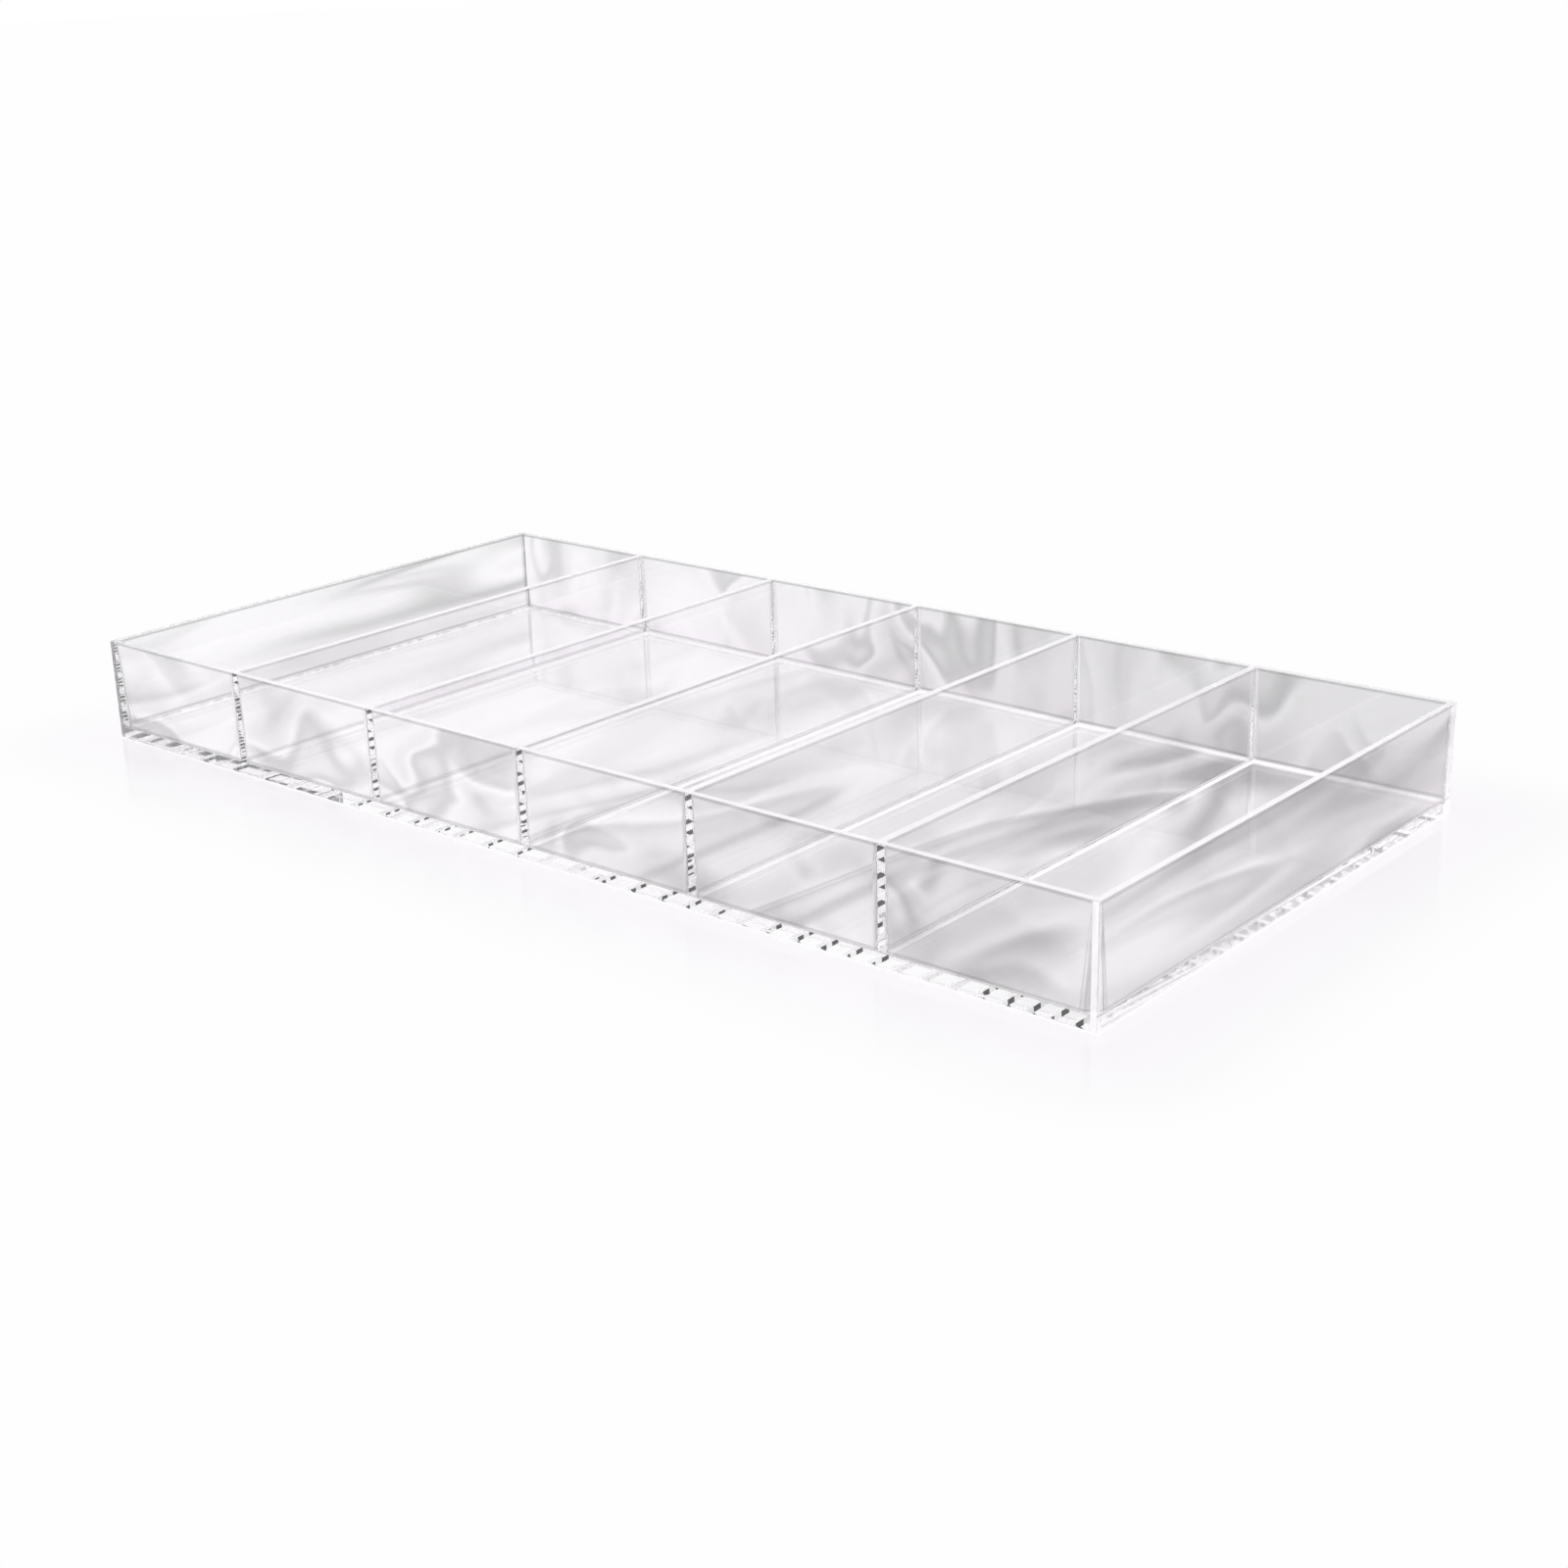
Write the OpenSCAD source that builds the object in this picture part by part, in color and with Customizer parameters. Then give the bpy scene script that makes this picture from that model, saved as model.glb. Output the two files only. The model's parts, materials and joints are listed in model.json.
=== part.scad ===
// Clear drawer tray for a vanity: one row of six long compartments, open at the top.
// Flat panels of clear acrylic sheet, butted and solvent-cemented, in millimetres.
// +X runs along the row of compartments, +Y to the back and +Z up.
// The origin is the middle of the underside.

/* [Tray] */
// Length outside, along the row of compartments
tray_length = 576; // [300:1:900]
// Width outside, front to back
tray_width = 282; // [120:1:500]
// Height from the underside to the rim
tray_height = 50; // [25:1:120]

/* [Panels] */
// Thickness of the front and back walls
long_wall_thickness = 3; // [2:0.1:8]
// Thickness of the end walls
end_wall_thickness = 3; // [2:0.1:8]
// Thickness of a divider
divider_thickness = 4; // [2:0.1:8]
// Thickness of the base panel
base_thickness = 5; // [3:0.1:12]

/* [Finish] */
// Bevel that polishing leaves on each free edge
edge_bevel = 0.3; // [0.1:0.05:0.8]

/* [Hidden] */
// Number of dividers, one fewer than the compartments
divider_count = 5;
// Length and width inside the walls
inner_length = tray_length - 2 * end_wall_thickness;
inner_width = tray_width - 2 * long_wall_thickness;
// Height of a divider, from the top of the base panel to the rim
divider_height = tray_height - base_thickness;
// Length of one compartment, all alike
compartment_length = (inner_length - divider_count * divider_thickness) / (divider_count + 1);

// X of the left face of divider number i
function divider_x(i) =
    -inner_length / 2 + i * compartment_length + (i - 1) * divider_thickness;

// Cross-section of a wall, with its outer face at x = 0 and its foot at y = 0.
// The outer foot and both edges at the rim are bevelled.
module wall_section(thickness) {
    polygon([
        [0, edge_bevel],
        [edge_bevel, 0],
        [thickness, 0],
        [thickness, tray_height - edge_bevel],
        [thickness - edge_bevel, tray_height],
        [edge_bevel, tray_height],
        [0, tray_height - edge_bevel]
    ]);
}

// Cross-section of a divider, with its left face at x = 0 and its foot at y = 0
module divider_section() {
    polygon([
        [0, 0],
        [divider_thickness, 0],
        [divider_thickness, divider_height - edge_bevel],
        [divider_thickness - edge_bevel, divider_height],
        [edge_bevel, divider_height],
        [0, divider_height - edge_bevel]
    ]);
}

// Extrusion along Y, centred: x of the section stays x, and y of the section becomes z
module along_y(length) {
    translate([0, length / 2, 0])
        rotate([90, 0, 0])
            linear_extrude(height = length)
                children();
}

// Extrusion along X, centred: x of the section becomes y, and y of the section becomes z
module along_x(length) {
    translate([-length / 2, 0, 0])
        rotate([90, 0, 90])
            linear_extrude(height = length)
                children();
}

// Plan of an end wall, bevelled at the tray's two outer upright edges
module end_wall_plan() {
    polygon([
        [edge_bevel, -tray_width / 2],
        [end_wall_thickness, -tray_width / 2],
        [end_wall_thickness, tray_width / 2],
        [edge_bevel, tray_width / 2],
        [0, tray_width / 2 - edge_bevel],
        [0, -tray_width / 2 + edge_bevel]
    ]);
}

// Left end wall. It caps the ends of the base panel and of the front and back walls,
// so that its own polished ends show at the corners from the rim to the underside.
module end_wall() {
    translate([-tray_length / 2, 0, 0])
        intersection() {
            along_y(tray_width)
                wall_section(end_wall_thickness);
            linear_extrude(height = tray_height)
                end_wall_plan();
        }
}

// Front wall, between the end walls and against the edge of the base panel
module long_wall() {
    translate([0, -tray_width / 2, 0])
        along_x(inner_length)
            wall_section(long_wall_thickness);
}

// Base panel, inside all four walls and flush with their feet
module base_panel() {
    color([0.92, 0.92, 0.95, 0.35])
        translate([-inner_length / 2, -inner_width / 2, 0])
            cube([inner_length, inner_width, base_thickness]);
}

module front_wall() {
    color([0.90, 0.90, 0.93, 0.35])
        long_wall();
}

module back_wall() {
    color([0.90, 0.90, 0.93, 0.35])
        mirror([0, 1, 0])
            long_wall();
}

module left_end_wall() {
    color([0.86, 0.86, 0.90, 0.35])
        end_wall();
}

module right_end_wall() {
    color([0.86, 0.86, 0.90, 0.35])
        mirror([1, 0, 0])
            end_wall();
}

// Divider number i, counted from the left end. It stands on the base panel,
// reaches from the front wall to the back wall and is level with the rim.
module divider(i) {
    color([0.88, 0.88, 0.92, 0.35])
        translate([divider_x(i), 0, base_thickness])
            along_y(inner_width)
                divider_section();
}

base_panel();
front_wall();
back_wall();
left_end_wall();
right_end_wall();
divider(1);  // divider_1
divider(2);  // divider_2
divider(3);  // divider_3
divider(4);  // divider_4
divider(5);  // divider_5
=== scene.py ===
import json
import math

import bmesh
import bpy
from mathutils import Matrix, Vector


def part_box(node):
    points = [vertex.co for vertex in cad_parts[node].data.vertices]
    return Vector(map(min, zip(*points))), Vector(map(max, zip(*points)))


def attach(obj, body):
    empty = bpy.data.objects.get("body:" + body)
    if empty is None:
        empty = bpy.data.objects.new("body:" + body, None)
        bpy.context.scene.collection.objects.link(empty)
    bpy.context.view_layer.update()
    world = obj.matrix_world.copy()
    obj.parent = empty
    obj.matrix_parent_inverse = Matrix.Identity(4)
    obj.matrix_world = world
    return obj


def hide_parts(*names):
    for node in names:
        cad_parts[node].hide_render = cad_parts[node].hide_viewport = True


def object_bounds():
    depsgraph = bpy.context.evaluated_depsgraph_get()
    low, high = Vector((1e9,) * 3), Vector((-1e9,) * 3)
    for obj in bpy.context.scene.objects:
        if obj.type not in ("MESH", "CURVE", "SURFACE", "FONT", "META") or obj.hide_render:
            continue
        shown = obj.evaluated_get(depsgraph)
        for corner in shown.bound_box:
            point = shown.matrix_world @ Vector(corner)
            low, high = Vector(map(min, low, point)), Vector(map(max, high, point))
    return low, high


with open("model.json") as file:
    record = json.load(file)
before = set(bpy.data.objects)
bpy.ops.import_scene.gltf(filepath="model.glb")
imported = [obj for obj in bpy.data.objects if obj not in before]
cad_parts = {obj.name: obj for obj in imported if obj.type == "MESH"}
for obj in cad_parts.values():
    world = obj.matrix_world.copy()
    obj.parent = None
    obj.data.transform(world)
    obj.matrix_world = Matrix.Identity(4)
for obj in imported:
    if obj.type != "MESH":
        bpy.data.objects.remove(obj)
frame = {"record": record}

CAD_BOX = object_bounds()

# Camera at the photograph's viewing angle: metres, degrees, and millimetres for lens and sensor
CAMERA_PLACE = Vector((0.6840, -0.7700, 0.3523))
CAMERA_AZIMUTH = 40.47
CAMERA_ELEVATION = 19.23
CAMERA_ROLL = -1.564
CAMERA_LENS = 53.27
CAMERA_SENSOR = 36.0
CAMERA_NEAR = 0.01
CAMERA_FAR = 100.0


def make_camera():
    azimuth = math.radians(CAMERA_AZIMUTH)
    elevation = math.radians(CAMERA_ELEVATION)
    roll = math.radians(CAMERA_ROLL)
    level = math.cos(elevation)
    forward = Vector((-math.sin(azimuth) * level, math.cos(azimuth) * level, -math.sin(elevation)))
    right = Vector((math.cos(azimuth), math.sin(azimuth), 0.0))
    up = right.cross(forward)
    side = math.cos(roll) * right + math.sin(roll) * up
    top = -math.sin(roll) * right + math.cos(roll) * up
    data = bpy.data.cameras.new("camera")
    data.lens = CAMERA_LENS
    data.sensor_width = CAMERA_SENSOR
    data.clip_start = CAMERA_NEAR
    data.clip_end = CAMERA_FAR
    camera = bpy.data.objects.new("camera", data)
    turn = Matrix((side, top, -forward)).transposed()
    camera.matrix_world = Matrix.Translation(CAMERA_PLACE) @ turn.to_4x4()
    bpy.context.scene.collection.objects.link(camera)
    bpy.context.scene.camera = camera


make_camera()

DIVIDERS = ["divider_1", "divider_2", "divider_3", "divider_4", "divider_5"]

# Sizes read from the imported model, in metres
OUT_LOW = Vector(CAD_BOX[0])
OUT_HIGH = Vector(CAD_BOX[1])
IN_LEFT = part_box("left_end_wall")[1].x
IN_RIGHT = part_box("right_end_wall")[0].x
IN_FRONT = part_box("front_wall")[1].y
IN_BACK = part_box("back_wall")[0].y
FLOOR_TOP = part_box("base_panel")[1].z
RIM = OUT_HIGH.z
DIVIDER_FACES = [(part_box(name)[0].x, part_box(name)[1].x) for name in DIVIDERS]

# How far each face of a divider has leaned in at the rim
DIVIDER_LEAN = 0.00024
# Bead of cement along the floor
BEAD = 0.0011
BEAD_STEPS = 6
# Rippled fillets that widen down the two front corners of the tray
FILLET_TOP = 0.0009
FILLET_FOOT = 0.0060
FILLET_RINGS = 10
RIPPLE = 0.025
RIPPLES = 3
# Small fillets down all other upright corners
SMALL_TOP = 0.0014
SMALL_FOOT = 0.0018
CORNER_STEPS = 18
# Polished edges. The outside's upright edges have a slightly larger radius. On the inside the rounding
# stops at an angle in degrees, just below the rim, and the cut runs on from there to above it.
EDGE = 0.0003
EDGE_STEPS = 4
EDGE_PLAN_SHARE = 1.3
EDGE_INSIDE_TURN = 84.0
OVERRUN = 0.002
OVERRUN_SHARE = 1.1


def turns(steps, degrees=90.0):
    """Angles from nothing up to a number of degrees, in equal steps"""
    return [math.radians(degrees * step / steps) for step in range(steps + 1)]


def rounded_ring(low, high, back, front_left, front_right, z, ripple=0.0):
    """Points of a rounded rectangle at height z, anticlockwise. Both of its corners at the back have
    one radius. Those at the front have a radius each and ripple."""
    corners = [
        (high[0] - back, high[1] - back, 0.0, back, 0.0),
        (low[0] + back, high[1] - back, 90.0, back, 0.0),
        (low[0] + front_left, low[1] + front_left, 180.0, front_left, ripple),
        (high[0] - front_right, low[1] + front_right, 270.0, front_right, ripple),
    ]
    points = []
    for x, y, start, radius, depth in corners:
        for step in range(CORNER_STEPS + 1):
            part = step / CORNER_STEPS
            angle = math.radians(start + 90.0 * part)
            wave = math.sin(math.pi * part) * math.sin(2.0 * math.pi * RIPPLES * part)
            away = radius * (1.0 - depth * wave)
            points.append((x + away * math.cos(angle), y + away * math.sin(angle), z))
    return points


def loft(name, rings):
    """Closed mesh through rings of equal length, capped at both ends"""
    bm = bmesh.new()
    rows = [[bm.verts.new(point) for point in ring] for ring in rings]
    count = len(rows[0])
    for lower, upper in zip(rows, rows[1:]):
        for i in range(count):
            j = (i + 1) % count
            bm.faces.new((lower[i], lower[j], upper[j], upper[i]))
    bm.faces.new(list(reversed(rows[0])))
    bm.faces.new(rows[-1])
    mesh = bpy.data.meshes.new(name)
    bm.to_mesh(mesh)
    bm.free()
    return mesh


def outer_ring(inset, z):
    """Ring of the tray's outside at height z, drawn in by an inset"""
    radius = EDGE * EDGE_PLAN_SHARE - inset
    low = (OUT_LOW.x + inset, OUT_LOW.y + inset)
    high = (OUT_HIGH.x - inset, OUT_HIGH.y - inset)
    return rounded_ring(low, high, radius, radius, radius, z)


def outer_mesh():
    """Outside of the tray, with a rounded edge along its foot and its rim"""
    rings = []
    for turn in turns(EDGE_STEPS):
        rings.append(outer_ring(EDGE * (1.0 - math.sin(turn)), OUT_LOW.z + EDGE * (1.0 - math.cos(turn))))
    for turn in turns(EDGE_STEPS):
        rings.append(outer_ring(EDGE * (1.0 - math.cos(turn)), RIM - EDGE * (1.0 - math.sin(turn))))
    return loft("outside", rings)


def cavity_mesh(x_low, x_high):
    """Inside of one compartment, from the bead along its floor to the polished edges at the rim"""
    rings = []
    lean_low = 0.0 if x_low == IN_LEFT else DIVIDER_LEAN
    lean_high = 0.0 if x_high == IN_RIGHT else DIVIDER_LEAN

    def add_ring(grow, z):
        part = min(1.0, (z - FLOOR_TOP) / (RIM - FLOOR_TOP))
        low = (x_low - grow - lean_low * part, IN_FRONT - grow)
        high = (x_high + grow + lean_high * part, IN_BACK + grow)
        wide = FILLET_TOP + (FILLET_FOOT - FILLET_TOP) * (1.0 - part) + grow
        small = SMALL_TOP + (SMALL_FOOT - SMALL_TOP) * (1.0 - part) + grow
        front_left = wide if x_low == IN_LEFT else small
        front_right = wide if x_high == IN_RIGHT else small
        rings.append(rounded_ring(low, high, small, front_left, front_right, z, RIPPLE))

    for turn in turns(BEAD_STEPS):
        add_ring(-BEAD * (1.0 - math.sin(turn)), FLOOR_TOP + BEAD * (1.0 - math.cos(turn)))
    wall_low = FLOOR_TOP + BEAD
    wall_high = RIM - EDGE
    for step in range(1, FILLET_RINGS):
        add_ring(0.0, wall_low + (wall_high - wall_low) * step / FILLET_RINGS)
    for turn in turns(EDGE_STEPS, EDGE_INSIDE_TURN):
        add_ring(EDGE * (1.0 - math.cos(turn)), RIM - EDGE + EDGE * math.sin(turn))
    add_ring(EDGE * OVERRUN_SHARE, RIM + OVERRUN)
    return loft("inside", rings)


def link(name, mesh):
    piece = bpy.data.objects.new(name, mesh)
    bpy.context.scene.collection.objects.link(piece)
    return piece


def baked(piece):
    """Mesh of a piece with its modifiers applied"""
    bpy.context.view_layer.update()
    depsgraph = bpy.context.evaluated_depsgraph_get()
    return bpy.data.meshes.new_from_object(piece.evaluated_get(depsgraph))


def cut(mesh, other, operation):
    """Mesh that a boolean operation makes of two"""
    piece = link("work", mesh)
    tool = link("tool", other)
    step = piece.modifiers.new("cut", "BOOLEAN")
    step.operation = operation
    step.solver = "EXACT"
    step.material_mode = "TRANSFER"
    step.object = tool
    made = baked(piece)
    bpy.data.objects.remove(piece)
    bpy.data.objects.remove(tool)
    return made


# Angle, in radians, up to which neighbouring faces of a cell of the grid count as one
CELL_FLAT = 0.01


def grid_solid(name, xs, ys, zs, filled):
    """Closed mesh of the boxes of a grid for which filled(x, y, z) is true at their middle"""
    def is_in(i, j, k):
        if not (0 <= i < len(xs) - 1 and 0 <= j < len(ys) - 1 and 0 <= k < len(zs) - 1):
            return False
        return filled((xs[i] + xs[i + 1]) / 2, (ys[j] + ys[j + 1]) / 2, (zs[k] + zs[k + 1]) / 2)

    bm = bmesh.new()
    made = {}

    def corner(i, j, k):
        if (i, j, k) not in made:
            made[(i, j, k)] = bm.verts.new((xs[i], ys[j], zs[k]))
        return made[(i, j, k)]

    # Way to each neighbour of a box, with the corners of the face between them
    sides = [
        ((-1, 0, 0), [(0, 0, 0), (0, 0, 1), (0, 1, 1), (0, 1, 0)]),
        ((1, 0, 0), [(1, 0, 0), (1, 1, 0), (1, 1, 1), (1, 0, 1)]),
        ((0, -1, 0), [(0, 0, 0), (1, 0, 0), (1, 0, 1), (0, 0, 1)]),
        ((0, 1, 0), [(0, 1, 0), (0, 1, 1), (1, 1, 1), (1, 1, 0)]),
        ((0, 0, -1), [(0, 0, 0), (0, 1, 0), (1, 1, 0), (1, 0, 0)]),
        ((0, 0, 1), [(0, 0, 1), (1, 0, 1), (1, 1, 1), (0, 1, 1)]),
    ]
    for i in range(len(xs) - 1):
        for j in range(len(ys) - 1):
            for k in range(len(zs) - 1):
                if not is_in(i, j, k):
                    continue
                for (di, dj, dk), corners in sides:
                    if is_in(i + di, j + dj, k + dk):
                        continue
                    bm.faces.new([corner(i + a, j + b, k + c) for a, b, c in corners])
    bmesh.ops.dissolve_limit(bm, angle_limit=CELL_FLAT, verts=bm.verts[:], edges=bm.edges[:])
    bmesh.ops.recalc_face_normals(bm, faces=bm.faces[:])
    mesh = bpy.data.meshes.new(name)
    bm.to_mesh(mesh)
    bm.free()
    return mesh


# Lines on which the tray is parted into its panels. A panel keeps the beads and fillets at its sides.
# The wide strips that hold the fillets start a little above the floor, and the narrow ones on it.
NARROW_SHARE = 0.8
WIDE_SPARE = 0.0004
NARROW = BEAD * NARROW_SHARE
WIDE = FILLET_FOOT + WIDE_SPARE
LIFT = 0.0001
OUTSIDE = 0.01
CUTS_X = [OUT_LOW.x - OUTSIDE, IN_LEFT, IN_LEFT + NARROW, IN_LEFT + WIDE]
for face_low, face_high in DIVIDER_FACES:
    CUTS_X += [face_low - WIDE, face_low - NARROW, face_high + NARROW, face_high + WIDE]
CUTS_X += [IN_RIGHT - WIDE, IN_RIGHT - NARROW, IN_RIGHT, OUT_HIGH.x + OUTSIDE]
CUTS_Y = [
    OUT_LOW.y - OUTSIDE, IN_FRONT, IN_FRONT + NARROW,
    IN_BACK - NARROW, IN_BACK, OUT_HIGH.y + OUTSIDE,
]
CUTS_Z = [OUT_LOW.z - OUTSIDE, FLOOR_TOP, FLOOR_TOP + LIFT, RIM + OUTSIDE]


def panel_at(x, y, z):
    """Name of the panel that a point of the tray belongs to"""
    if x < IN_LEFT:
        return "left_end_wall"
    if x > IN_RIGHT:
        return "right_end_wall"
    if y < IN_FRONT:
        return "front_wall"
    if y > IN_BACK:
        return "back_wall"
    if z < FLOOR_TOP:
        return "base_panel"
    strip = NARROW if z < FLOOR_TOP + LIFT else WIDE
    for name, (face_low, face_high) in zip(DIVIDERS, DIVIDER_FACES):
        if face_low - strip < x < face_high + strip:
            return name
    if x < IN_LEFT + strip:
        return "left_end_wall"
    if x > IN_RIGHT - strip:
        return "right_end_wall"
    if y < IN_FRONT + NARROW:
        return "front_wall"
    if y > IN_BACK - NARROW:
        return "back_wall"
    return "base_panel"


def add(tree, kind, inputs, **settings):
    """New node of a tree, with values or other nodes' sockets on its inputs"""
    made = tree.nodes.new(kind)
    for key, value in settings.items():
        setattr(made, key, value)
    for key, value in inputs.items():
        if isinstance(value, bpy.types.NodeSocket):
            tree.links.new(value, made.inputs[key])
        else:
            made.inputs[key].default_value = value
    return made


def number(tree, operation, *values):
    """Outcome of an operation on numbers"""
    return add(tree, "ShaderNodeMath", dict(enumerate(values)), operation=operation).outputs[0]


def vector(tree, operation, *values):
    """Outcome of an operation on vectors that gives a vector"""
    return add(tree, "ShaderNodeVectorMath", dict(enumerate(values)), operation=operation).outputs[0]


def ramp(tree, value, start, stop, low=0.0, high=1.0, smooth=False):
    """Number that goes from low to high while a value goes from start to stop"""
    inputs = {"Value": value, "From Min": start, "From Max": stop, "To Min": low, "To Max": high}
    kind = "SMOOTHSTEP" if smooth else "LINEAR"
    return add(tree, "ShaderNodeMapRange", inputs, interpolation_type=kind).outputs[0]


def tinted(tree, colour, share):
    """A colour darkened to a share of it"""
    return add(tree, "ShaderNodeVectorMath", {0: colour, "Scale": share}, operation="SCALE").outputs[0]


def mixed(tree, share, one, two):
    """Shader that goes from one to two as the share goes from 0 to 1"""
    return add(tree, "ShaderNodeMixShader", {"Fac": share, 1: one, 2: two}).outputs["Shader"]


def object_place(tree):
    """Place on the object, in metres"""
    return add(tree, "ShaderNodeTexCoord", {}).outputs["Object"]


def new_material(name):
    """New material, with its node tree and its main shader"""
    material = bpy.data.materials.new(name)
    material.use_nodes = True
    tree = material.node_tree
    return material, tree, tree.nodes["Principled BSDF"]


# Look of each kind of sheet. Its swirls and its fade are painted shade and reflection in the colour of
# the clear acrylic. Grain is how many swirls pass in a metre along x, y and z, and shift moves them.
# The swirl shade is the light that gets through the darkest of their folds, band is the part of the
# slow drift over which the folds come in, and faint is their share at the left end. Fade is where
# along x the sheet starts and stops to darken, as painted shade towards the right, and to what share.
# Tint is the colour of the clear sheet. Foot is the height up to which it has no swirls, satin the
# roughness of that foot, and the foot glow the painted light that glows from that foot, though it is
# no lamp. Line is the light through the thin painted grey lines of shade below its rim and above the
# bead, which are left out where it is 1.
LOOKS = {
    "base": {
        "grain": (13.0, 4.0, 11.0), "shift": (0.0, 0.0, 0.0),
        "painted_swirl_shade": 0.56, "band": (0.34, 0.52), "faint": 0.15,
        "fade": (0.0, 0.25, 0.93), "tint": (0.9985, 0.993, 1.0),
        "foot": 0.0, "satin": 0.0, "painted_foot_glow": 0.0, "line": 1.0},
    "front": {
        "grain": (16.0, 10.0, 24.0), "shift": (3.0, 0.0, 1.0),
        "painted_swirl_shade": 0.70, "band": (0.36, 0.56), "faint": 1.0,
        "fade": (0.0, 0.28, 0.90), "tint": (0.9985, 0.993, 1.0),
        "foot": 0.0056, "satin": 0.0, "painted_foot_glow": 0.0, "line": 0.6},
    "back": {
        "grain": (24.0, 10.0, 15.0), "shift": (0.0, 0.0, 0.0),
        "painted_swirl_shade": 0.68, "band": (0.36, 0.56), "faint": 0.9,
        "fade": (-0.16, 0.10, 0.79), "tint": (0.998, 0.982, 1.0),
        "foot": 0.0056, "satin": 0.0, "painted_foot_glow": 0.0, "line": 0.6},
    "end": {
        "grain": (22.0, 4.0, 30.0), "shift": (0.0, 0.0, 0.0),
        "painted_swirl_shade": 0.64, "band": (0.26, 0.46), "faint": 1.0,
        "fade": (-0.2, 0.2, 0.94), "tint": (0.998, 0.984, 1.0),
        "foot": 0.0056, "satin": 0.05, "painted_foot_glow": 0.09, "line": 0.6},
    "divider": {
        "grain": (11.0, 7.0, 24.0), "shift": (0.0, 0.0, 0.0),
        "painted_swirl_shade": 0.88, "band": (0.40, 0.60), "faint": 0.6,
        "fade": (0.0, 0.2, 0.97), "tint": (0.9985, 0.992, 1.0),
        "foot": 0.0, "satin": 0.0, "painted_foot_glow": 0.0, "line": 0.7},
}
KINDS = {
    "base_panel": "base", "front_wall": "front", "back_wall": "back",
    "left_end_wall": "end", "right_end_wall": "end",
}
ACRYLIC_IOR = 1.49
# Colour of the floor's glow and of the painted glow of the sheets and the whitish parts
GLOW_COLOUR = (1.0, 0.985, 1.0, 1.0)

# Painted swirls of shade and reflection: how fast their slow drift changes, how far it pushes the
# folds about, how many folds there are, how rough and distorted, and the places along x up to which
# they are faint and from which full
DRIFT_SCALE = 0.7
DRIFT_PUSH = (2.4, 2.4, 2.4)
FOLDS = 3.7
FOLD_ROUGHNESS = 0.3
FOLD_DISTORTION = 0.4
FAINT_UP_TO = -0.12
FULL_FROM = 0.1
# Painted darkness across one fold of a swirl, which is sharp on one side and soft on the other
FOLD_SHAPE = [(0.0, 0.0), (0.26, 1.0), (0.6, 0.4), (1.0, 0.0)]

# How far below the rim a sheet starts to turn clear and is clear, and over what height above its foot
# the swirls and the satin change
RIM_CLEAR_LOW = 0.0012
RIM_CLEAR_HIGH = 0.0005
FOOT_BLUR = 0.0008
SATIN_BLUR = 0.0004
# Thin painted grey lines of shade below the rim and above the bead: half of their width, where their
# blur ends, and how far they lie from rim and bead
LINE_HALF = 0.0004
LINE_BLUR = 0.0006
LINE_BELOW_RIM = 0.0010
LINE_ABOVE_BEAD = 0.0005
# Painted grey lines of shade down the fillets, standing in for the lines that refraction draws
# there: how closely they follow each other, where on the wave that makes them they start and are
# full, their share there, and their colour
FILLET_LINES = 25.0
FILLET_LINE_START = 0.1
FILLET_LINE_FULL = 0.8
FILLET_LINE_SHARE = 0.75
PAINTED_FILLET_GREY = (0.7, 0.69, 0.705, 1.0)


def painted_shade_line(tree, height, middle, light):
    """Light through a thin painted grey line of shade that runs at one height"""
    away = number(tree, "ABSOLUTE", number(tree, "SUBTRACT", height, middle))
    return ramp(tree, away, LINE_HALF, LINE_BLUR, light, 1.0)


def painted_fillet_lines(tree, shader):
    """The sheet with painted grey lines of shade that run down the fillets of its upright corners"""
    turned = add(tree, "ShaderNodeTexCoord", {}).outputs["Normal"]
    split = add(tree, "ShaderNodeSeparateXYZ", {0: turned})
    slant = number(tree, "ABSOLUTE", number(tree, "MULTIPLY", split.outputs["X"], split.outputs["Y"]))
    wave = number(tree, "SINE", number(tree, "MULTIPLY", slant, FILLET_LINES))
    grey = ramp(tree, wave, FILLET_LINE_START, FILLET_LINE_FULL, 0.0, FILLET_LINE_SHARE)
    painted_grey = add(tree, "ShaderNodeBsdfDiffuse", {"Color": PAINTED_FILLET_GREY}).outputs["BSDF"]
    return mixed(tree, grey, shader, painted_grey)


def fold_dark(tree, across):
    """Painted darkness at a place across a fold"""
    shape = add(tree, "ShaderNodeValToRGB", {0: across})
    shape.color_ramp.interpolation = "EASE"
    last = len(FOLD_SHAPE) - 1
    for stop, (where, dark) in enumerate(FOLD_SHAPE):
        if stop in (0, last):
            element = shape.color_ramp.elements[0 if stop == 0 else -1]
            element.position = where
        else:
            element = shape.color_ramp.elements.new(where)
        element.color = (dark, dark, dark, 1.0)
    return shape.outputs["Color"]


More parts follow.
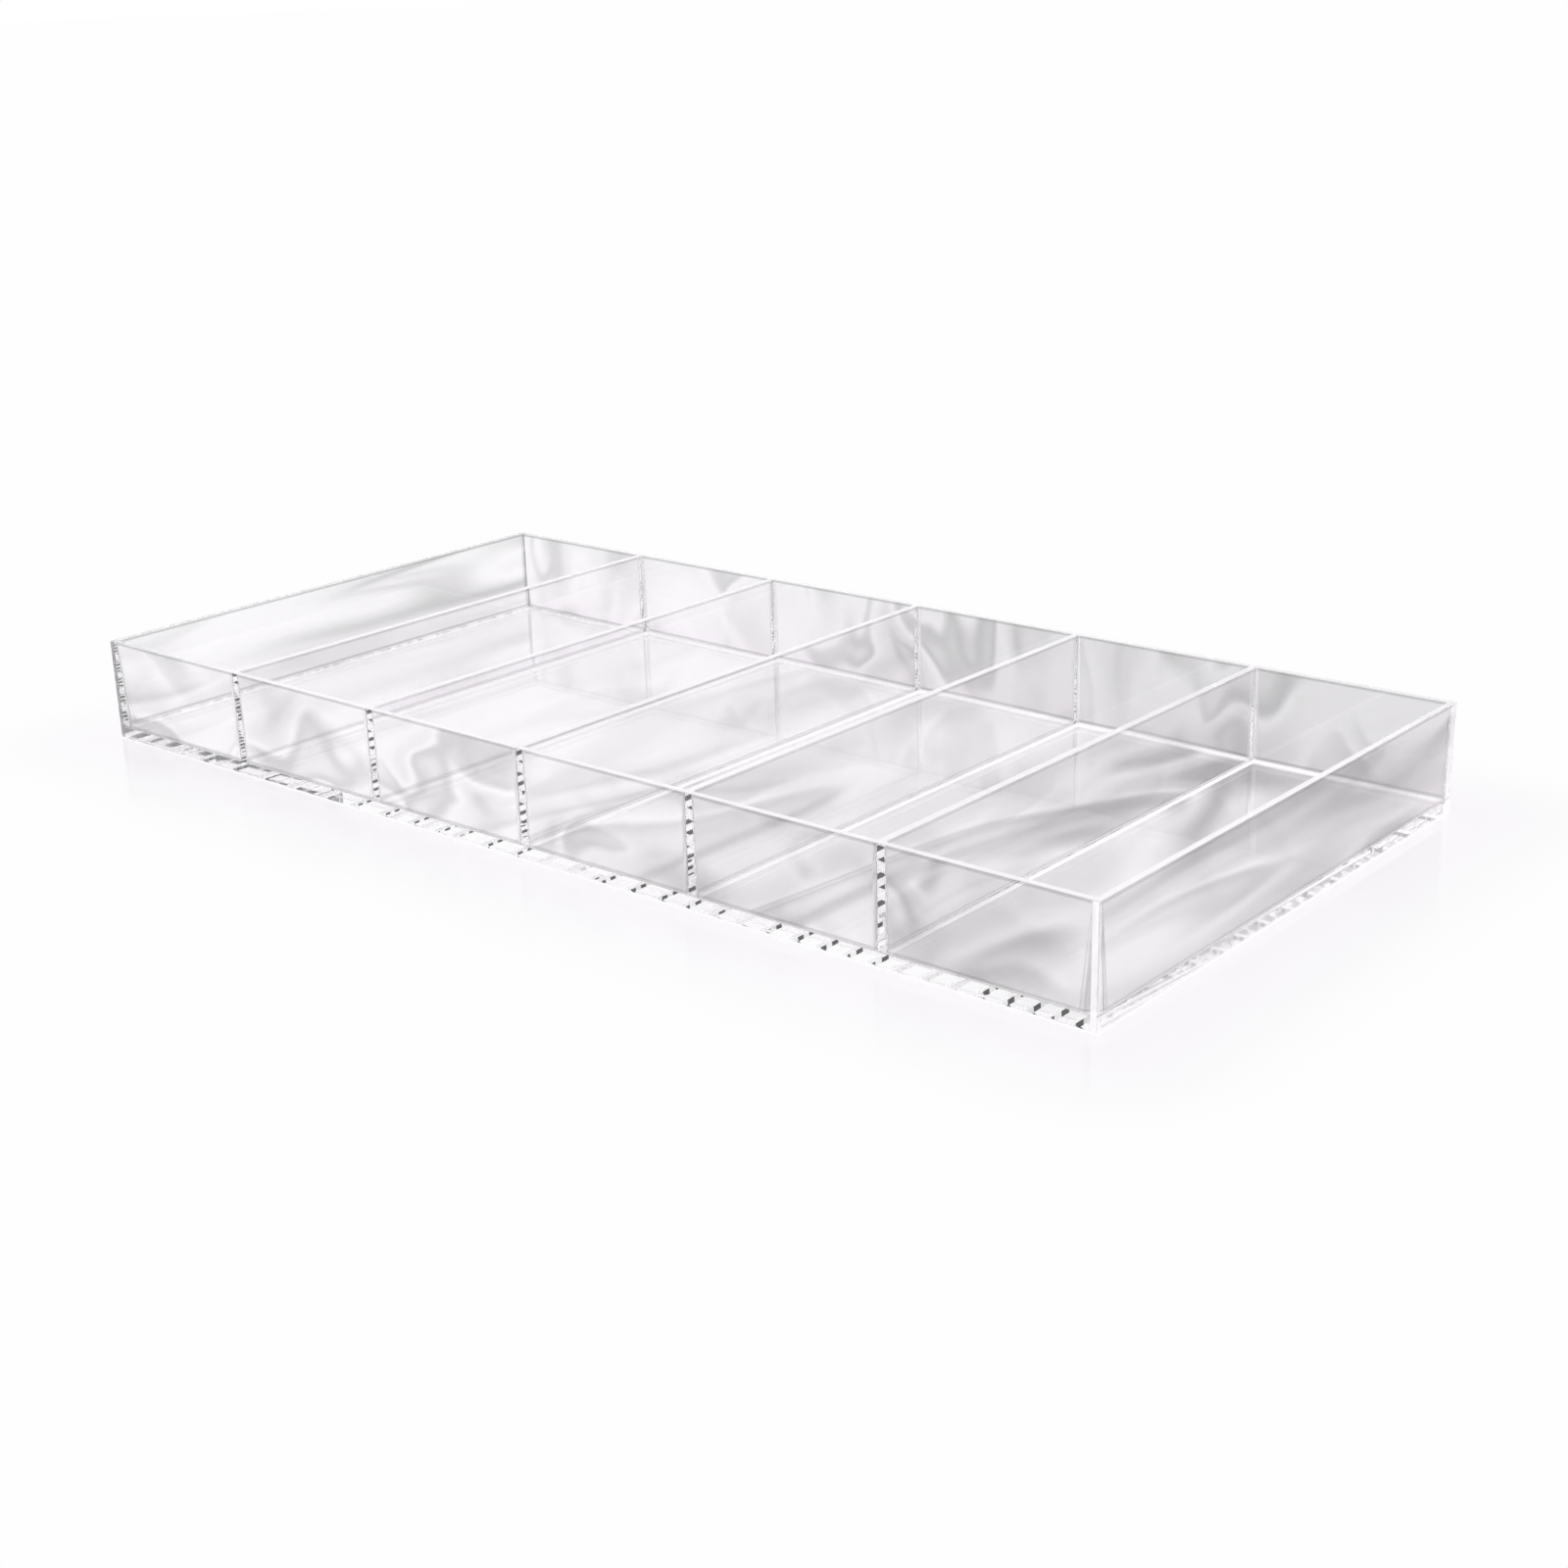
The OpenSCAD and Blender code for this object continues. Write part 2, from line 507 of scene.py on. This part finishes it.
def swirls(tree, look, place, x):
    """Share of the light that gets through, as slow swirls of painted shade and reflection that are
    darker to the right
    """
    grain = vector(tree, "MULTIPLY_ADD", place, look["grain"], look["shift"])
    drift = add(tree, "ShaderNodeTexNoise", {"Vector": grain, "Scale": DRIFT_SCALE, "Detail": 1.0})
    pushed = vector(tree, "MULTIPLY_ADD", drift.outputs["Color"], DRIFT_PUSH, grain)
    noise = add(tree, "ShaderNodeTexNoise", {
        "Vector": pushed, "Scale": 1.0, "Detail": 1.0,
        "Roughness": FOLD_ROUGHNESS, "Distortion": FOLD_DISTORTION})
    across = number(tree, "FRACT", number(tree, "MULTIPLY", noise.outputs["Fac"], FOLDS))
    band_low, band_high = look["band"]
    present = ramp(tree, drift.outputs["Fac"], band_low, band_high, smooth=True)
    dark = number(tree, "MULTIPLY", fold_dark(tree, across), present)
    strong = ramp(tree, x, FAINT_UP_TO, FULL_FROM, look["faint"], 1.0)
    dark = number(tree, "MULTIPLY", dark, strong)
    light = ramp(tree, dark, 0.0, 1.0, 1.0, look["painted_swirl_shade"])
    start, stop, share = look["fade"]
    return number(tree, "MULTIPLY", light, ramp(tree, x, start, stop, 1.0, share))


def swirl_light(tree, look):
    """Share of the light that gets through a sheet: its swirls of painted shade, which leave its rim
    and its foot clear, and its painted grey lines of shade"""
    place = object_place(tree)
    split = add(tree, "ShaderNodeSeparateXYZ", {0: place})
    z = split.outputs["Z"]
    inner = swirls(tree, look, place, split.outputs["X"])
    edge = ramp(tree, z, RIM - RIM_CLEAR_LOW, RIM - RIM_CLEAR_HIGH)
    if look["foot"]:
        below = ramp(tree, z, look["foot"] + FOOT_BLUR, look["foot"])
        edge = number(tree, "MAXIMUM", edge, below)
    clear = add(tree, "ShaderNodeMix", {0: edge, 2: inner, 3: 1.0}).outputs[0]
    if look["line"] == 1.0:
        return clear
    rim_line = painted_shade_line(tree, z, RIM - LINE_BELOW_RIM, look["line"])
    bead_line = painted_shade_line(tree, z, FLOOR_TOP + BEAD + LINE_ABOVE_BEAD, look["line"])
    return number(tree, "MULTIPLY", clear, number(tree, "MULTIPLY", rim_line, bead_line))


def see_through(tree, shader):
    """Ends a material in a shader that shadow and diffuse rays pass straight through"""
    through = add(tree, "ShaderNodeBsdfTransparent", {}).outputs["BSDF"]
    path = add(tree, "ShaderNodeLightPath", {}).outputs
    passing = number(tree, "MAXIMUM", path["Is Shadow Ray"], path["Is Diffuse Ray"])
    tree.links.new(mixed(tree, passing, shader, through), tree.nodes["Material Output"].inputs["Surface"])


def sheet_material(name, look):
    """Clear polished acrylic, with swirls of painted shade and reflection in what is seen through it.
    Where its look has satin, its foot is slightly rough and has a painted glow, though it is no lamp."""
    material, tree, shader = new_material(name)
    # The clear tint, darkened by the painted swirls and grey lines of shade
    tint = tinted(tree, look["tint"], swirl_light(tree, look))
    tree.links.new(tint, shader.inputs["Base Color"])
    shader.inputs["Roughness"].default_value = 0.0
    if look["satin"]:
        height = add(tree, "ShaderNodeSeparateXYZ", {0: object_place(tree)}).outputs["Z"]
        foot = look["foot"]
        satin = ramp(tree, height, foot + SATIN_BLUR, foot, 0.0, look["satin"])
        tree.links.new(satin, shader.inputs["Roughness"])
        # Painted glow out of the foot, which is no lamp
        painted_glow = ramp(tree, height, foot + SATIN_BLUR, foot, 0.0, look["painted_foot_glow"])
        tree.links.new(painted_glow, shader.inputs["Emission Strength"])
        shader.inputs["Emission Color"].default_value = GLOW_COLOUR
    shader.inputs["IOR"].default_value = ACRYLIC_IOR
    shader.inputs["Transmission Weight"].default_value = 1.0
    see_through(tree, painted_fillet_lines(tree, shader.outputs["BSDF"]))
    return material


# Whitish parts, whose white stands partly for highlights and whose glow is painted light: tint,
# white away from the left end, where along x the painted glow and the mottle of painted shade start
# and stop, the mottle's scale, band and darkest share, and the slant at which a joint turns clear
CEMENT_TINT = (0.9985, 0.990, 1.0)
EVEN_WHITE = 0.97
GLOW_REACH = 0.28
MOTTLE_STOP = -0.2
MOTTLE_SCALE = 300.0
MOTTLE_LOW = 0.4
MOTTLE_HIGH = 0.6
MOTTLE_SHARE = 0.7
SLANT_START = 0.25
SLANT_CLEAR = 0.35


def white_material(name, left, roughness, transmission, lit, glow, steep_only=False):
    """Whitish acrylic, such as a bead of cement, a sawn end or a rim, whose white stands partly for
    highlights. Left is its white at the left end, where it is darker and mottled as painted shade. Lit
    is the share of it that lets light through from behind, and glow is the painted light that it gives
    out at the left end and at the right end, though it is no lamp. A joint that is white for steep
    light only is clear at a slant."""
    material, tree, shader = new_material(name)
    place = object_place(tree)
    x = add(tree, "ShaderNodeSeparateXYZ", {0: place}).outputs["X"]
    # Painted shade: darker and mottled at the left end
    mottle = add(tree, "ShaderNodeTexNoise", {"Vector": place, "Scale": MOTTLE_SCALE, "Detail": 1.0})
    mottled = ramp(tree, mottle.outputs["Fac"], MOTTLE_LOW, MOTTLE_HIGH, left * MOTTLE_SHARE, left)
    even = ramp(tree, x, -GLOW_REACH, MOTTLE_STOP)
    shade = add(tree, "ShaderNodeMix", {0: even, 2: mottled, 3: EVEN_WHITE}).outputs[0]
    tint = tinted(tree, CEMENT_TINT, shade)
    tree.links.new(tint, shader.inputs["Base Color"])
    shader.inputs["Roughness"].default_value = roughness
    shader.inputs["IOR"].default_value = ACRYLIC_IOR
    shader.inputs["Transmission Weight"].default_value = transmission
    glow_left, glow_right = glow
    unlit = 1.0 - lit
    # Painted glow, which is no lamp, at the left end and the right end
    painted_glow = ramp(tree, x, -GLOW_REACH, GLOW_REACH, glow_left / unlit, glow_right / unlit)
    tree.links.new(painted_glow, shader.inputs["Emission Strength"])
    shader.inputs["Emission Color"].default_value = GLOW_COLOUR
    behind = add(tree, "ShaderNodeBsdfTranslucent", {"Color": tint}).outputs["BSDF"]
    both = mixed(tree, lit, shader.outputs["BSDF"], behind)
    if steep_only:
        slant = add(tree, "ShaderNodeLayerWeight", {"Blend": 0.5})
        clear = ramp(tree, slant.outputs["Facing"], SLANT_START, SLANT_CLEAR)
        through = add(tree, "ShaderNodeBsdfTransparent", {}).outputs["BSDF"]
        both = mixed(tree, clear, both, through)
    see_through(tree, both)
    return material


def bond_material():
    """Face that two sheets share, which nothing shows of"""
    material, tree, shader = new_material("cement_bond")
    tree.nodes.remove(shader)
    through = add(tree, "ShaderNodeBsdfTransparent", {}).outputs["BSDF"]
    tree.links.new(through, tree.nodes["Material Output"].inputs["Surface"])
    return material


SLOTS = {row["node"]: row["material_slot"] for row in frame["record"]["subparts"]}
BOND = bond_material()
# Whitish parts with painted light: all glow though they are no lamp and are mottled with painted shade at
# the left end, the sawn ends darkest; the white of the bead, the joints and the rim stands partly for
# highlights
BEAD_CEMENT_AND_HIGHLIGHT = white_material(
    "cement_bead_and_painted_highlight", left=0.97, roughness=0.2, transmission=0.3, lit=0.5, glow=(0.12, 0.22))
SAWN_END_AND_PAINTED_LIGHT = white_material(
    "sawn_end_and_painted_light", left=0.55, roughness=0.25, transmission=0.7, lit=0.3, glow=(0.0, 0.25))
JOINT_AND_HIGHLIGHT = white_material(
    "cement_joint_and_painted_highlight", left=0.97, roughness=0.3, transmission=0.2, lit=0.5, glow=(0.15, 0.30),
    steep_only=True)
RIM_HIGHLIGHT = white_material(
    "rim_painted_highlight", left=0.97, roughness=0.25, transmission=0.6, lit=0.3, glow=(0.12, 0.09))
SHEETS = {kind: sheet_material("acrylic_" + kind, look) for kind, look in LOOKS.items()}

# Places of the materials in a panel's list
SHEET_FACE, BOND_FACE, BEAD_FACE, SAWN_FACE, JOINT_FACE, RIM_FACE = range(6)
# How squarely a face looks along an axis: 1 is straight along it
STRAIGHT = 0.99
RIM_TILT = 0.7
BEAD_TILT_LOW = 0.05
BEAD_TILT_HIGH = 0.999
# Distance from the outside within which a face lies on it, and within which points are one
ON_OUTSIDE = 0.0001
SAME_POINT = 1e-7
# Angle in radians up to which faces of a sheet count as one, angle in degrees up to which they shade
# as one round surface, and how far its large faces rule the shading
SHEET_FLAT = 0.002
SMOOTH_ANGLE = 32.0
NORMAL_WEIGHT = 100


def surface_of(face):
    """Place in the list of the material of a face: the sheet, a bond, a cement bead, the sawn end of
    an end wall, the cement joint between an end wall and a long wall, or the top of the rim"""
    middle = face.calc_center_median()
    if face.material_index == BOND_FACE:
        corner = abs(middle.y) > IN_BACK and abs(face.normal.x) > STRAIGHT
        return JOINT_FACE if corner else BOND_FACE
    if face.normal.z > RIM_TILT and middle.z > RIM - EDGE:
        return RIM_FACE
    tilt = abs(face.normal.z)
    if FLOOR_TOP < middle.z < FLOOR_TOP + BEAD and BEAD_TILT_LOW < tilt < BEAD_TILT_HIGH:
        return BEAD_FACE
    beyond = middle.x < IN_LEFT or middle.x > IN_RIGHT
    if beyond and abs(face.normal.y) > STRAIGHT and abs(middle.y) > OUT_HIGH.y - ON_OUTSIDE:
        return SAWN_FACE
    return SHEET_FACE


def mark_smooth(bm):
    """Smooth shading, with sharp edges at steep turns and around the bonds and joints"""
    bonded = (BOND_FACE, JOINT_FACE)
    for edge in bm.edges:
        if len(edge.link_faces) != 2:
            continue
        one, two = edge.link_faces
        flat = one.normal.angle(two.normal, 0.0) < math.radians(SMOOTH_ANGLE)
        edge.smooth = flat and (one.material_index in bonded) == (two.material_index in bonded)
    for face in bm.faces:
        face.smooth = True


def finish_panel(name, mesh):
    """Piece of the visual model that stands for one panel"""
    for material in (BEAD_CEMENT_AND_HIGHLIGHT, SAWN_END_AND_PAINTED_LIGHT, JOINT_AND_HIGHLIGHT, RIM_HIGHLIGHT):
        mesh.materials.append(material)
    bm = bmesh.new()
    bm.from_mesh(mesh)
    bmesh.ops.remove_doubles(bm, verts=bm.verts[:], dist=SAME_POINT)
    for face in bm.faces:
        face.material_index = surface_of(face)
    bmesh.ops.dissolve_limit(
        bm, angle_limit=SHEET_FLAT, verts=bm.verts[:], edges=bm.edges[:], delimit={"MATERIAL"})
    mark_smooth(bm)
    bm.to_mesh(mesh)
    bm.free()
    mesh.name = name + "_sheet"
    piece = link(name + "_sheet", mesh)
    weigh = piece.modifiers.new("normals", "WEIGHTED_NORMAL")
    weigh.mode = "FACE_AREA"
    weigh.weight = NORMAL_WEIGHT
    weigh.keep_sharp = True
    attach(piece, "root")
    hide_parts(name)


def make_panels():
    """Cuts the compartments out of the tray's outside and parts what is left into panels"""
    body = outer_mesh()
    walls = [IN_LEFT]
    for face_low, face_high in DIVIDER_FACES:
        walls += [face_low, face_high]
    walls.append(IN_RIGHT)
    for x_low, x_high in zip(walls[0::2], walls[1::2]):
        body = cut(body, cavity_mesh(x_low, x_high), "DIFFERENCE")
    for name in SLOTS:
        cell = grid_solid(
            name + "_cell", CUTS_X, CUTS_Y, CUTS_Z, lambda x, y, z: panel_at(x, y, z) == name)
        cell.materials.append(BOND)
        whole = body.copy()
        whole.materials.clear()
        whole.materials.append(SHEETS[KINDS.get(name, "divider")])
        finish_panel(name, cut(whole, cell, "INTERSECT"))


make_panels()

# Floor: a little below the tray, glossier under it and with a stronger painted glow there, and white
# at a distance from it
FLOOR_HALF = 30.0
FLOOR_DROP = 0.0004
FLOOR_COLOUR = (0.9, 0.88, 0.91, 1.0)
FLOOR_WHITE = (0.99, 0.99, 0.99, 1.0)
FLOOR_GLOW = 0.24
FLOOR_GLOW_UNDER = 0.30
FLOOR_ROUGHNESS = 0.12
FLOOR_ROUGHNESS_UNDER = 0.0
FLOOR_GLOSS = 0.2
FLOOR_GLOSS_UNDER = 0.5
UNDER_REACH = 0.0005
FADE_START = 0.004
FADE_STOP = 0.08


def past_outline(tree):
    """Distance from the tray's outline, which is nothing under the tray"""
    away = vector(tree, "ABSOLUTE", object_place(tree))
    past = vector(tree, "SUBTRACT", away, (OUT_HIGH.x, OUT_HIGH.y, 0.0))
    past = vector(tree, "MAXIMUM", past, (0.0, 0.0, 0.0))
    return add(tree, "ShaderNodeVectorMath", {0: past}, operation="LENGTH").outputs["Value"]


def make_floor():
    mesh = bpy.data.meshes.new("floor")
    corners = [(-1, -1), (1, -1), (1, 1), (-1, 1)]
    points = [(x * FLOOR_HALF, y * FLOOR_HALF, -FLOOR_DROP) for x, y in corners]
    mesh.from_pydata(points, [], [(0, 1, 2, 3)])
    floor = link("floor", mesh)
    material, tree, shader = new_material("floor")
    shader.inputs["Base Color"].default_value = FLOOR_COLOUR
    shader.inputs["Emission Color"].default_value = GLOW_COLOUR
    past = past_outline(tree)
    # The floor is glossier where the tray presses on it
    under = number(tree, "LESS_THAN", past, UNDER_REACH)
    rough = ramp(tree, under, 0.0, 1.0, FLOOR_ROUGHNESS, FLOOR_ROUGHNESS_UNDER)
    gloss = ramp(tree, under, 0.0, 1.0, FLOOR_GLOSS, FLOOR_GLOSS_UNDER)
    # Under the tray it glows more, a painted pool of light that is seen through the base
    glow = ramp(tree, under, 0.0, 1.0, FLOOR_GLOW, FLOOR_GLOW_UNDER)
    tree.links.new(rough, shader.inputs["Roughness"])
    tree.links.new(gloss, shader.inputs["Specular IOR Level"])
    # Only what sees it directly, by mirror or through the sheets sees it glow
    path = add(tree, "ShaderNodeLightPath", {}).outputs
    sharp = number(tree, "MAXIMUM", path["Is Glossy Ray"], path["Is Transmission Ray"])
    seen = number(tree, "MAXIMUM", path["Is Camera Ray"], sharp)
    tree.links.new(number(tree, "MULTIPLY", seen, glow), shader.inputs["Emission Strength"])
    # Away from the tray it fades into a plain white background
    fade = ramp(tree, past, FADE_START, FADE_STOP, smooth=True)
    white = add(tree, "ShaderNodeEmission", {"Color": FLOOR_WHITE}).outputs["Emission"]
    ending = mixed(tree, number(tree, "MULTIPLY", seen, fade), shader.outputs["BSDF"], white)
    tree.links.new(ending, tree.nodes["Material Output"].inputs["Surface"])
    mesh.materials.append(material)


# Room that the sheets mirror: azimuth in degrees of its white part, cosines with it at which the white
# starts and is full, levels of the dark part and the front, and where along y and z of a direction the
# front and the low white start and are full
ROOM_AZIMUTH = 60.0
ROOM_WHITE_START = 0.62
ROOM_WHITE_FULL = 0.86
ROOM_DARK = 0.10
ROOM_FRONT = 0.35
ROOM_FRONT_START = 0.2
ROOM_FRONT_FULL = -0.5
ROOM_LOW_START = 0.16
ROOM_LOW_FULL = 0.10


def make_world():
    """Room for the reflections: white at the back left and low down, grey in front and dark at the
    back right. The camera itself sees it white."""
    world = bpy.data.worlds.new("studio")
    bpy.context.scene.world = world
    world.use_nodes = True
    tree = world.node_tree
    way = add(tree, "ShaderNodeTexCoord", {}).outputs["Generated"]
    split = add(tree, "ShaderNodeSeparateXYZ", {0: way})
    azimuth = math.radians(ROOM_AZIMUTH)
    toward = add(tree, "ShaderNodeVectorMath", {
        0: way, 1: (-math.sin(azimuth), math.cos(azimuth), 0.0)}, operation="DOT_PRODUCT")
    white = ramp(
        tree, toward.outputs["Value"], ROOM_WHITE_START, ROOM_WHITE_FULL, ROOM_DARK, 1.0, smooth=True)
    front = ramp(
        tree, split.outputs["Y"], ROOM_FRONT_START, ROOM_FRONT_FULL, 0.0, ROOM_FRONT, smooth=True)
    low = ramp(tree, split.outputs["Z"], ROOM_LOW_START, ROOM_LOW_FULL, smooth=True)
    path = add(tree, "ShaderNodeLightPath", {}).outputs
    room = white
    for other in (front, low, path["Is Camera Ray"]):
        room = number(tree, "MAXIMUM", room, other)
    tree.links.new(room, tree.nodes["Background"].inputs["Color"])


# Soft light overhead, aimed at the tray, in metres and watts
KEY_PLACE = Vector((0.25, 0.1, 1.8))
KEY_AIM = Vector((0.0, 0.0, 0.0))
KEY_WIDTH = 2.6
KEY_DEPTH = 2.2
KEY_POWER = 27.0


def make_key_light():
    data = bpy.data.lights.new("key", "AREA")
    data.shape = "RECTANGLE"
    data.size = KEY_WIDTH
    data.size_y = KEY_DEPTH
    data.energy = KEY_POWER
    lamp = bpy.data.objects.new("key", data)
    lamp.location = KEY_PLACE
    lamp.rotation_mode = "QUATERNION"
    lamp.rotation_quaternion = (KEY_AIM - KEY_PLACE).to_track_quat("-Z", "Y")
    bpy.context.scene.collection.objects.link(lamp)


# Light crosses many sheets, and the ends of the dividers turn black with fewer bounces
BOUNCES = 128
TRANSPARENT_BOUNCES = 64

make_floor()
make_world()
make_key_light()
scene = bpy.context.scene
scene.view_settings.view_transform = "Standard"
scene.cycles.max_bounces = BOUNCES
scene.cycles.transmission_bounces = BOUNCES
scene.cycles.glossy_bounces = BOUNCES
scene.cycles.transparent_max_bounces = TRANSPARENT_BOUNCES
scene.cycles.caustics_reflective = False
scene.cycles.caustics_refractive = False
